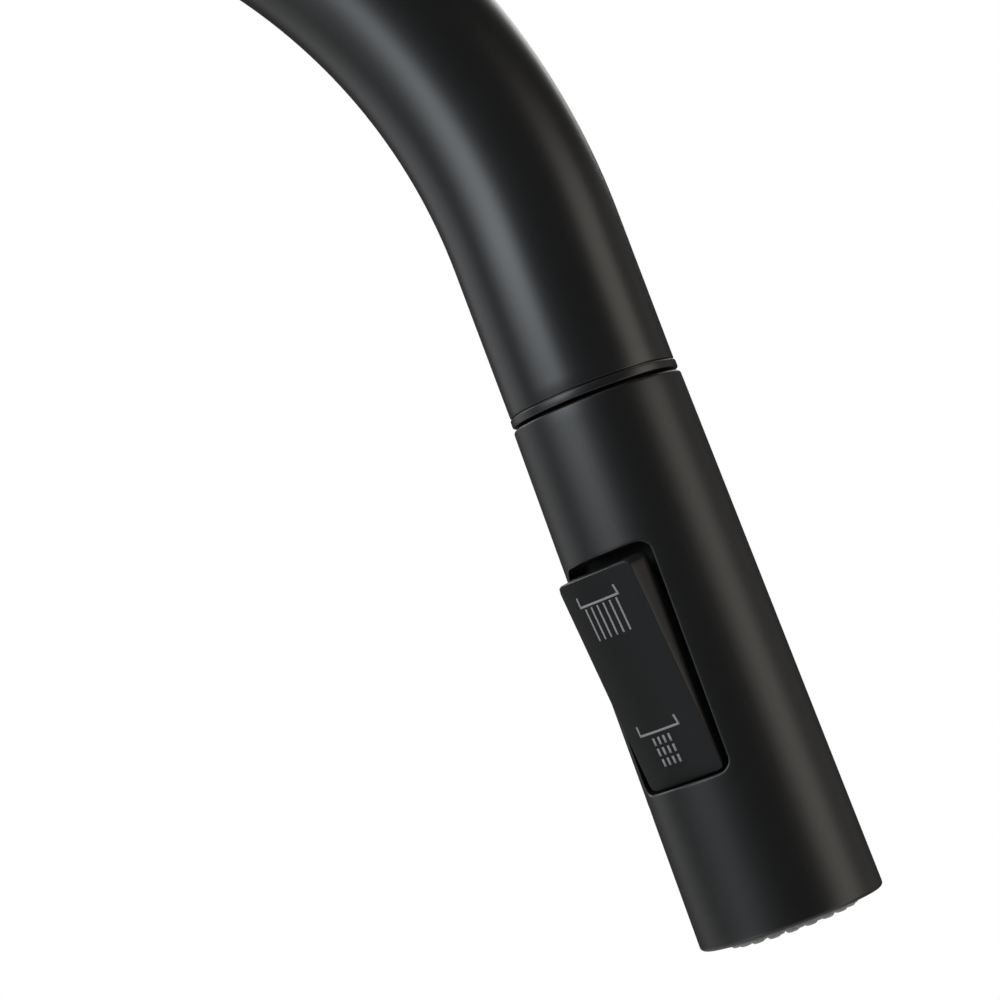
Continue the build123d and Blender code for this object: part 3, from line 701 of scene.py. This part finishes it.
def mode_rocker():
    """Convex hollow rocker with a fine bevel round its face."""
    bevel, wall, roof = 0.28, 1.6, 1.9
    margin = 2.2  # from the outline to the grid of the face
    under_margin = 1.4
    steepest = 0.94  # how squarely a face has to look outward to count as the rocker's face
    verts, faces, border = panel(margin, crown, False)
    rings = [border]

    def add_loop(grow, height):
        base = len(verts)
        points = outline(ROCKER, grow, ROCKER_COLUMNS, ROCKER_ROWS)
        verts.extend((x, -height(x), z + ROCKER_Z) for x, z in points)
        rings.append(list(range(base, base + len(points))))

    for grow in (-1.5, -0.9, -bevel - 0.1):
        add_loop(grow, crown)
    for a in spread(0, pi / 2, 5):
        add_loop(-bevel * (1 - sin(a)), lambda x, drop=bevel * (1 - cos(a)): crown(x) - drop)
    for share in (0.25, 0.5, 0.75, 1.0):
        add_loop(0, lambda x, s=share: (crown(x) - bevel) * (1 - s) + ROCKER_SKIRT * s)
    add_loop(-wall, lambda x: ROCKER_SKIRT)
    add_loop(-wall, lambda x: crown(x) - roof)
    inner_verts, inner_faces, inner_border = panel(
        wall + under_margin, lambda x: crown(x) - roof, True
    )
    base = len(verts)
    verts += inner_verts
    faces += [tuple(base + i for i in face) for face in inner_faces]
    rings.append([base + i for i in inner_border])
    for near, far in zip(rings, rings[1:]):
        for i in range(len(near)):
            j = (i + 1) % len(near)
            faces.append((far[i], far[j], near[j], near[i]))
    place = rocker_place()
    piece = add_piece("rocker_button", (verts, faces), place, "rocker", MATERIALS["rocker_black"],
                      ["mode_rocker"], smooth=60)
    # Faces that do not look straight out get the lighter material: painted light on the rocker's walls, ends and
    # bevel.
    piece.data.materials.append(MATERIALS["rocker_side_painted_light"])
    outward = place.to_3x3() @ Vector((0, -1, 0))
    for polygon in piece.data.polygons:
        if polygon.normal.dot(outward) < steepest:
            polygon.material_index = 1


def rocker_hub():
    """Pivot barrels, web and finger below the rocker's face."""
    gap, reach, barrel_r, pin_r, segments = 1.2, 7.2, 2.9, 1.1, 40
    web_depths, web_half = (-14.8, -9.6), 2.0
    finger_depths, finger_half_w, finger_half_l = (-9.8, -0.6), 1.0, 0.9
    parts = []
    for side in (-1, 1):
        rings = []
        for x, r in ((gap, pin_r), (gap, barrel_r), (reach, barrel_r), (reach, pin_r)):
            points = circle_points(r, 0, segments)
            rings.append([(side * x, -PIVOT_DEEP + u, ROCKER_Z + v) for u, v, _ in points])
        verts, faces = closed_loft(rings)
        parts.append((verts, faces if side > 0 else [tuple(reversed(face)) for face in faces]))
    web_heights = (ROCKER_Z - web_half, ROCKER_Z + web_half)
    parts.append(box_mesh((-reach, reach), web_depths, web_heights))
    finger_heights = (ROCKER_Z - finger_half_l, ROCKER_Z + finger_half_l)
    parts.append(box_mesh((-finger_half_w, finger_half_w), finger_depths, finger_heights))
    add_piece("rocker_hub", merge(parts), rocker_place(), "rocker", MATERIALS["rocker_black"],
              smooth=30)


def stroke(start, end, width):
    """A printed line on the rocker's face, between two (x, z) points of the level face."""
    a, b = Vector(start), Vector(end)
    run = b - a
    side = Vector((-run.y, run.x)).normalized() * width / 2
    step, top, under = 0.5, 0.03, 0.05
    count = max(1, round(run.length / step))
    loops = []
    for k in range(count + 1):
        middle = a + run * k / count
        left, right = middle + side, middle - side
        loops.append([
            (left.x, -crown(left.x) - top, ROCKER_Z + left.y),
            (right.x, -crown(right.x) - top, ROCKER_Z + right.y),
            (right.x, -crown(right.x) + under, ROCKER_Z + right.y),
            (left.x, -crown(left.x) + under, ROCKER_Z + left.y),
        ])
    return loft(loops, (True, True))


def printed_marks():
    """Two plain spray signs: a nozzle plate over straight jets, and one over drops."""
    middle, width, tick, line = -0.25, 9.4, 1.75, 0.40
    jet_plate, jet_top, jet_low, jet_width = 14.8, 14.3, 8.3, 0.38
    jet_count, jet_pitch, jet_shift = 6, 1.46, 0.15
    drop_plate, drop_top, drop_length, drop_width = -9.5, -10.45, 1.4, 0.5
    drop_columns, drop_pitch, drop_shift = 4, 1.2, -0.1
    drop_rows, drop_fall = 3, 1.95

    def nozzle_plate(z):
        left, right = middle - width / 2, middle + width / 2
        return [
            stroke((left, z), (right, z), line),
            stroke((left + line / 2, z), (left + 0.25, z + tick), line),
            stroke((right - line / 2, z), (right - 0.45, z + tick), line),
        ]

    jets = nozzle_plate(jet_plate)
    for i in range(jet_count):
        x = middle + jet_shift + (i - (jet_count - 1) / 2) * jet_pitch
        jets.append(stroke((x, jet_top), (x, jet_low), jet_width))
    drops = nozzle_plate(drop_plate)
    for i in range(drop_columns):
        x = middle + drop_shift + (i - (drop_columns - 1) / 2) * drop_pitch
        for k in range(drop_rows):
            top = drop_top - k * drop_fall
            drops.append(stroke((x, top), (x, top - drop_length), drop_width))
    for name, parts in (("mark_stream", jets), ("mark_spray", drops)):
        add_piece(name, merge(parts), rocker_place(), "rocker", MATERIALS["print_grey"],
                  smooth=0)


def check_valve_spring():
    """Light coil in the waterway that the poppet presses down on."""
    low, height, pitch, coil_r, wire_r = -27.7, 6.0, 1.5, 1.9, 0.22
    steps, segments = 160, 12
    loops = []
    for k in range(steps + 1):
        turn = tau * height / pitch * k / steps
        out = Vector((cos(turn), sin(turn), 0))
        along = Vector((-sin(turn) * coil_r, cos(turn) * coil_r, pitch / tau)).normalized()
        up = along.cross(out)
        middle = out * coil_r + Vector((0, 0, low + height * k / steps))
        angles = [tau * i / segments for i in range(segments)]
        loops.append([middle + (out * cos(a) + up * sin(a)) * wire_r for a in angles])
    piece = add_piece("check_spring", loft(loops, (True, True)), HEAD, None, MATERIALS["steel"],
                      ["check_valve_spring"])
    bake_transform(piece)


def docking_cone():
    """Cone that guides the head into the dock."""
    low, high = span("docking_cone", HEAD)[1:]
    top_r, wide = 7.5, HEAD_TOP_R - HEAD_WALL
    seat_r, throat_r, seat_top = 6.25, 5.7, 8.0
    flange_top, root_r, shoulder_r, shoulder = -0.5, 11.6, 11.5, 0.9
    profile = rounded([
        (seat_r, low),
        (wide, low, 0.2),
        (wide, flange_top, 0.2),
        (root_r, flange_top + 0.2),
        (shoulder_r, shoulder, 0.8),
        (top_r, high, 0.4),
        (throat_r, high, 0.3),
        (throat_r, seat_top),
        (seat_r, seat_top),
    ])
    add_piece("head_cone", lathe(profile), HEAD, "spray_head", MATERIALS["inner_black"],
              ["docking_cone"], smooth=30)


def dock_trim():
    """Trim ring under the spout's end, with a sleeve that fits in the tube."""
    bore, sleeve_r, neck, rim = 12.3, TUBE_BORE_R - 0.02, TUBE_R - 0.4, TUBE_R + 0.15
    sleeve_top, rim_top, low = 19.5, -0.2, -1.65
    profile = rounded([
        (bore, sleeve_top, 0.3),
        (sleeve_r, sleeve_top, 0.2),
        (sleeve_r, 0),
        (neck, 0),
        (neck, rim_top),
        (rim, rim_top, 0.2),
        (rim, low, 0.3),
        (bore, low, 0.3),
    ])
    add_piece("dock_trim", lathe(list(reversed(profile))), DOCK, "spout", MATERIALS["matte_black"],
              ["dock_ring"], smooth=50)


# ---------------------------------------------------------------- spray face
def face_insert():
    """Black ring between the casing and the soft pad, with a pierced floor above the pad."""
    low, high = span("spray_face", HEAD)[1:]
    wall, outer, floor = PAD_R + 0.08, 14.6, high - 2.0
    profile = rounded([
        (wall, low, 0.25),
        (outer, low, 0.25),
        (outer, high),
        (AERATOR_R, high),
        (AERATOR_R, floor),
        (wall, floor),
    ])
    add_piece("face_insert", lathe(profile), HEAD, "spray_head", MATERIALS["inner_black"],
              ["spray_face"], smooth=40)


def nozzle_dome(radius, low, tip):
    """Profile of a domed rubber nozzle with its hole, sunk a little in the pad."""
    drop = low - tip
    hole, flat, skirt, top = 0.38, 0.6, radius + 0.25, low + 1.2
    profile = [(hole, top), (hole, tip + 0.12), (hole + 0.08, tip + 0.03), (flat, tip)]
    for a in spread(0, pi / 2, 7)[1:]:
        profile.append((flat + (radius - flat) * sin(a), tip + drop * (1 - cos(a))))
    return profile + [(skirt, low + 0.12), (skirt, top)]


def nozzle_pad():
    """Soft pad with two rings of domed nozzles."""
    tip, high = span("nozzle_pad", HEAD)[1:]
    dome, segments = 0.8, 20
    low = tip + dome
    inner = AERATOR_R + 0.1
    pad = rounded([(inner, low, 0.3), (PAD_R, low, 0.45), (PAD_R, high, 0.2), (inner, high, 0.2)])
    parts = [lathe(pad)]
    for count, ring_r, base_r, start in ((20, 10.62, 1.35, 0.0), (14, 8.2, 1.05, 6.0)):
        profile = nozzle_dome(base_r, low, tip)
        for i in range(count):
            a = radians(start) + tau * i / count
            parts.append(lathe(profile, segments, ring_r * cos(a), ring_r * sin(a)))
    add_piece("soft_pad", merge(parts), HEAD, "spray_head", MATERIALS["nozzle_grey"],
              ["nozzle_pad"], smooth=45)


def aerator():
    """Rim of the aerator, around its pierced screen."""
    low, high = span("aerator_housing", HEAD)[1:]
    inner = 5.8
    profile = rounded([(inner, low, 0.2), (AERATOR_R, low, 0.25), (AERATOR_R, high), (inner, high)])
    add_piece("aerator_rim", lathe(profile), HEAD, "spray_head", MATERIALS["inner_black"],
              ["aerator_housing"], smooth=40)


# ---------------------------------------------------------------- base, body and handle
def side_hole(radius, rows, half_height, z):
    """Heights of a panel's rows around a hole, and its outline as a function of growth."""
    heights = spread(z - half_height, z + half_height, rows)

    def points(grow):
        around = outline((radius, radius, radius), grow, rows, rows)
        return [(x, height + z) for x, height in around]

    return heights, points


def straight(radius):
    """A wall that has one radius at every height."""
    return lambda z: radius


def body_column():
    """Column with its valve boss; the boss meets it in a small fillet."""
    radius, bore = 23.0, 18.8
    low, high = span("body_column")[1:]
    foot_r, foot_top, neck_r, neck_low = 16.6, 14.0, 16.0, 110.0
    boss_r, boss_end, mouth_r, pocket_r, seat = 18.0, 36.5, 15.0, 13.0, 26.0
    edge, boss_edge, mouth_edge, fillet = 0.8, 0.5, 0.3, 1.3
    rows, back, panel_angle, reach = 48, 84, radians(66), boss_r + 3.5
    zs, boss = side_hole(boss_r, rows, reach, VALVE_PIVOT.z / MM)
    pocket = side_hole(pocket_r, rows, reach, VALVE_PIVOT.z / MM)[1]
    mouth = side_hole(mouth_r, rows, reach, VALVE_PIVOT.z / MM)[1]
    wall, inside = straight(radius), straight(bore)
    outer = [(neck_r, high)]
    for a in spread(0, pi / 2, 5):
        outer.append((radius - edge * (1 - sin(a)), high - edge * (1 - cos(a))))
    outer += [(radius, z) for z in reversed(eased_rows(zs, low, high - edge, 4.0))][1:]
    inner = [(foot_r, low), (foot_r, foot_top)]
    inner += [(bore, z) for z in eased_rows(zs, foot_top, neck_low, 6.0)]
    inner.append((neck_r, neck_low))

    def flat(points, out):
        return [(x, -out, z) for x, z in points]

    loops = ease_to_border(boss(1.6), wall, zs, panel_angle, rows, (0.66, 0.33))
    for grow, lift in ((1.6, 0), (0.8, 0.1), (0.3, 0.45), (0, fillet)):
        loops.append(on_face(boss(grow), wall, -lift))
    root = on_face(boss(0), wall, -fillet)
    for share in (0.35, 0.7):
        loops.append([(x, y + (-boss_end + boss_edge - y) * share, z) for x, y, z in root])
    for a in spread(0, pi / 2, 5):
        loops.append(flat(boss(-boss_edge * (1 - cos(a))), boss_end - boss_edge * (1 - sin(a))))
    for a in spread(0, pi / 2, 3):
        loops.append(flat(mouth(mouth_edge * (1 - sin(a))), boss_end - mouth_edge * (1 - cos(a))))
    loops += [flat(mouth(0), seat), flat(pocket(0), seat), on_face(pocket(0), inside)]
    loops += ease_to_border(pocket(1.0), inside, zs, panel_angle, rows, (0, 0.5))
    shape = pierced(outer, inner, zs, panel_angle, rows, back, loops)
    place = Matrix.Rotation(pi, 4, "Z")
    add_piece("column", shape, place, "body", MATERIALS["matte_black"],
              ["body_column"], smooth=50)


def base_flange():
    """Round foot on its gasket."""
    outer, low, high = span("base_flange")
    hole = 17.0
    profile = rounded([(hole, low), (outer, low, 0.25), (outer, high, 3.0), (hole, high)], 8)
    add_piece("foot", lathe(profile), WORLD, "body", MATERIALS["matte_black"],
              ["base_flange"], smooth=50)


def spout_hub():
    """Collar that joins the tube to the swivel, with its grub screw hole at the back."""
    radius, bearing = 23.0, 16.06
    low, seat, shoulder, neck, top = 119.05, 144.0, 149.0, 155.0, 158.0
    edge, screw_r, screw_z = 0.6, 2.5, 131.0
    columns, back, panel_angle = 12, 116, radians(14)
    zs, hole = side_hole(screw_r, columns, screw_r + 2.0, screw_z)
    wall, inside = straight(radius), straight(bearing)
    crest = [(TUBE_R, top), (TUBE_R + 2.0, top, 0.35), (TUBE_R + 3.0, neck, 2.5)]
    crest += [(radius, shoulder, 2.0), (radius, TUBE_LOW)]
    outer = rounded(crest, 6)[:-1]
    outer += [(radius, z) for z in reversed(eased_rows(zs, low + edge, TUBE_LOW, 3.0))]
    for a in spread(0, pi / 2, 4)[1:]:
        outer.append((radius - edge * (1 - cos(a)), low + edge - edge * sin(a)))
    inner = [(bearing, low)]
    inner += [(bearing, z) for z in eased_rows(zs, low + edge, seat, 6.0)]
    inner += [(TUBE_BORE_R, seat), (TUBE_BORE_R, TUBE_LOW), (TUBE_R, TUBE_LOW)]
    loops = []
    for grow, depth in ((0.6, 0), (0.25, 0), (0.07, 0.07), (0, 0.25)):
        loops.append(on_face(hole(grow), wall, depth))
    loops += [on_face(hole(0), inside), on_face(hole(0.5), inside)]
    shape = pierced(outer, inner, zs, panel_angle, columns, back, loops)
    place = Matrix.Rotation(-pi / 2, 4, "Z")
    add_piece("spout_collar", shape, place, "spout", MATERIALS["matte_black"],
              ["spout_hub"], smooth=40)


def valve_cap():
    """Low cone that closes the valve boss round the stem."""
    low = span("valve_cap", VALVE)[1]
    hole, wide, top_r, top = 7.8, 17.6, 9.4, 40.4
    profile = rounded([
        (hole, low),
        (wide, low, 0.2),
        (wide - 0.4, low + 0.3),
        (top_r, top, 0.4),
        (hole, top, 0.2),
    ])
    add_piece("boss_cap", lathe(profile), VALVE, "body", MATERIALS["matte_black"],
              ["valve_cap"], smooth=40)


def handle_hub():
    """Round hub, open below for the stem, and the plug over its screw."""
    radius, low, high = span("handle_hub", VALVE)
    socket, socket_end, low_edge, top_edge = 4.3, 54.0, 0.8, 2
    profile = [(socket, socket_end), (socket, low)]
    for a in spread(0, pi / 2, 5):
        profile.append((radius - low_edge * (1 - sin(a)), low + low_edge * (1 - cos(a))))
    for a in spread(0, pi / 2, 10):
        profile.append((radius - top_edge * (1 - cos(a)), high - top_edge * (1 - sin(a))))
    profile += [(9.0, high), (4.0, high)]
    add_piece("handle_body", turned_cap(profile), VALVE, "lever", MATERIALS["matte_black"],
              ["handle_hub"], smooth=40)
    plug_r, plug_face, plug_length, plug_z = 1.95, 14.58, 2.18, 49.0
    under = VALVE @ Matrix.Translation((0, 0, plug_z * MM)) @ Matrix.Rotation(-pi / 2, 4, "X")
    back = (plug_r, plug_face - plug_length)
    plug = rounded([back, (plug_r, plug_face, 0.25), (0.6, plug_face)])
    add_piece("index_plug", turned_cap(plug[1:]), under, "lever", MATERIALS["rocker_black"],
              ["handle_index_plug"], smooth=40)


def handle_lever():
    """Slim round lever with a domed tip."""
    root, taper, tip, root_r, tip_r, dome = 8.0, 16.0, 104.0, 4.0, 3.4, 1.9
    height, taper_end = 51.5, tip - 2.0
    profile = [(root_r, root), (root_r, taper)]
    for z in spread(taper, tip - dome, 22)[1:]:
        profile.append((root_r + (tip_r - root_r) * (z - taper) / (taper_end - taper), z))
    side = profile[-1][0]
    for a in spread(0, pi / 2, 8)[1:]:
        profile.append((side - dome * (1 - cos(a)), tip - dome * (1 - sin(a))))
    profile.append((0.4, tip))
    place = VALVE @ Matrix.Translation((0, 0, height * MM)) @ Matrix.Rotation(pi / 2, 4, "X")
    add_piece("lever_bar", turned_cap(profile, 64), place, "lever", MATERIALS["matte_black"],
              ["handle_lever"], smooth=50)


def threaded(radius, bore, low, high, thread_low, thread_high, pitch, depth, segments=72):
    """A tube with a helical thread on the middle part of its outside."""
    steps = max(1, round((thread_high - thread_low) / (pitch / 6)))
    runout = 2 * pitch
    rows = [(low, 0.0)]
    for z in spread(thread_low, thread_high, steps):
        rows.append((z, min(1.0, (z - thread_low) / runout, (thread_high - z) / runout)))
    rows.append((high, 0.0))
    loops = []
    for z, share in rows:
        ring = []
        for i in range(segments):
            a = tau * i / segments
            phase = (z / pitch - i / segments) % 1.0
            crest = 1 - abs(2 * phase - 1)
            r = radius - depth * max(share, 0) * (1 - min(1.0, 1.25 * crest))
            ring.append((r * cos(a), r * sin(a), z))
        loops.append(ring)
    loops.append(circle_points(bore, rows[-1][0], segments))
    loops.append(circle_points(bore, rows[0][0], segments))
    return closed_loft(loops)


def shank():
    """Threaded shank below the deck."""
    radius, low, high = span("shank")
    bore, thread_high, pitch, depth = 14.6, -2.0, 1.5, 0.75
    shape = threaded(radius, bore, low, high, low + 0.4, thread_high, pitch, depth)
    add_piece("threaded_shank", shape, WORLD, "body", MATERIALS["brass"],
              ["shank"], smooth=25)


def hose_tail():
    """Crimped ferrule and threaded nipple on the hose's lower end."""
    radius, low, high = span("hose_tail_fitting")
    nipple_high = low + 12.0
    ferrule_low, socket_low = nipple_high + 6.0, high - 8.0
    bore, nipple_r, ferrule_r, crimp_r, socket_r = 2.8, 4.95, 6.3, 5.95, 5.05
    pitch, depth = 1.0, 0.5
    nipple_thread = (low + 0.3, nipple_high - 1.0, pitch, depth, 48)
    parts = [threaded(nipple_r, bore, low, nipple_high, *nipple_thread)]
    profile = [(radius, nipple_high, 0.3), (radius, ferrule_low, 0.3), (ferrule_r, ferrule_low)]
    for k in range(3):
        groove = ferrule_low + 4.0 + 4.5 * k
        for r, rise in ((ferrule_r, 0), (crimp_r, 0.5), (crimp_r, 1.5), (ferrule_r, 2.0)):
            profile.append((r, groove + rise, 0.2))
    profile += [(ferrule_r, high, 0.4), (socket_r, high), (socket_r, socket_low)]
    profile += [(bore, socket_low), (bore, nipple_high)]
    parts.append(lathe(rounded(profile, 4), 64))
    add_piece("hose_tail", merge(parts), WORLD, "spout", MATERIALS["brass"],
              ["hose_tail_fitting"], smooth=30)


def dress_cad_nodes():
    """Finishes on the precise CAD pieces that are shown as they are."""
    for part in frame["record"]["subparts"]:
        mesh = frame["nodes"][part["node"]].data
        mesh.materials.clear()
        mesh.materials.append(MATERIALS.get(part["material_slot"], BRAID_LOW))


dress_cad_nodes()
base_flange()
body_column()
valve_cap()
handle_hub()
handle_lever()
shank()
hose_tail()
spout_hub()
spout_tube()
dock_trim()
hose()
docking_cone()
check_valve_spring()
head_shell()
mode_rocker()
rocker_hub()
printed_marks()
face_insert()
nozzle_pad()
aerator()


# ---------------------------------------------------------------- stage
MID_HEAD = HEAD @ Vector((0, 0, -HEAD_LENGTH / 2 * MM))
EYE_OFFSET = (-33.7, -523.0, -12.9)  # from the middle of the head
EYE_TILT = radians(4.41)
EYE_ROLL = radians(-0.3)
LENS = 107.96
BEND_TURN = radians(59)  # how far up the arc the bend's own light is aimed
BEND = Vector((ARC_R * (1 + cos(BEND_TURN)), 0, ARC_LOW + ARC_R * sin(BEND_TURN))) * MM
FLOOR_TOP = -450.0
FLOOR_MIDDLE = Vector((0.1, 0.0, FLOOR_TOP * MM))
NEUTRAL = (1.0, 1.0, 1.0)
COOL = (0.88, 0.95, 1.0)


def camera():
    """The photo's view: from the front, near the spray head's height, looking a little up."""
    data = bpy.data.cameras.new("photo_view")
    data.lens = LENS
    data.sensor_width = 36.0
    data.clip_start = 0.02
    data.dof.use_dof = False
    eye = bpy.data.objects.new("photo_view", data)
    eye.location = MID_HEAD + Vector(EYE_OFFSET) * MM
    eye.rotation_euler = (pi / 2 + EYE_TILT, EYE_ROLL, 0)
    bpy.context.scene.collection.objects.link(eye)
    bpy.context.scene.camera = eye


def softbox(name, direction, distance, width, height, watts, colour, target=MID_HEAD):
    """A rectangular light at a distance from its target, facing it; metres and watts."""
    data = bpy.data.lights.new(name, "AREA")
    data.shape = "RECTANGLE"
    data.size = width
    data.size_y = height
    data.energy = watts
    data.color = colour
    light = bpy.data.objects.new(name, data)
    light.location = target + Vector(direction).normalized() * distance
    light.rotation_euler = (target - light.location).to_track_quat("-Z", "Y").to_euler()
    light.visible_camera = False
    bpy.context.scene.collection.objects.link(light)


def surroundings(strength):
    """White seen directly, and an even dim light on everything else."""
    world = bpy.data.worlds.new("studio")
    tree, _, add = node_tools(world)
    tree.nodes.clear()
    white = (1, 1, 1, 1)
    seen = add("ShaderNodeBackground", {"Color": white, "Strength": 1.0}).outputs[0]
    dim = add("ShaderNodeBackground", {"Color": white, "Strength": strength}).outputs[0]
    direct = add("ShaderNodeLightPath").outputs["Is Camera Ray"]
    mix = add("ShaderNodeMixShader", {0: direct, 1: dim, 2: seen})
    add("ShaderNodeOutputWorld", {"Surface": mix.outputs[0]})
    bpy.context.scene.world = world


def floor():
    """Pale round floor below the lowest reach of the drawn-out head."""
    radius, thickness = 1500.0, 6.0
    disc = turned_cap([(radius, FLOOR_TOP - thickness), (radius, FLOOR_TOP)])
    material = finish_material(
        "floor_pale", (0.80, 0.80, 0.79), (0.86, 0.86, 0.85), 0.0, (0.6, 0.7), 4.0, 0.1
    )
    add_piece("floor", disc, WORLD, None, material, smooth=30)


camera()
surroundings(0.042)
floor()
softbox("key_left", (-0.82, -0.53, 0.26), 0.85, 0.66, 0.9, 3.5, (0.91, 0.96, 1.0))
softbox("low_left", (-0.52, -0.46, -0.72), 0.85, 0.30, 0.30, 0.9, COOL)
softbox("bend_left", (-0.654, -0.745, -0.137), 0.27, 0.17, 0.17, 0.37, COOL, BEND)
softbox("rim_high", (-0.60, 0.56, 0.56), 1.0, 0.5, 0.5, 3.0, (0.98, 0.99, 1.0))
softbox("key_right", (0.955, -0.30, 0.10), 0.8, 0.50, 1.1, 3.3, (1.0, 0.94, 0.86))
softbox("rim_left", (-0.85, 0.50, 0.10), 1.1, 0.8, 1.2, 2.2, (0.97, 0.98, 1.0))
softbox("rim_right", (0.88, 0.45, 0.10), 1.1, 0.8, 1.2, 0.6, (1.0, 0.98, 0.95))
softbox("top", (-0.35, 0.35, 1.0), 1.1, 0.9, 0.9, 8.0, NEUTRAL)
softbox("back", (0.1, 1.0, 0.9), 1.5, 1.0, 1.0, 8.0, (1.0, 0.98, 0.96))
softbox("floor_wash", (0.0, 0.0, 1.0), 0.25, 3.0, 3.0, 5.0, NEUTRAL, FLOOR_MIDDLE)
bpy.context.scene.view_settings.view_transform = "Standard"
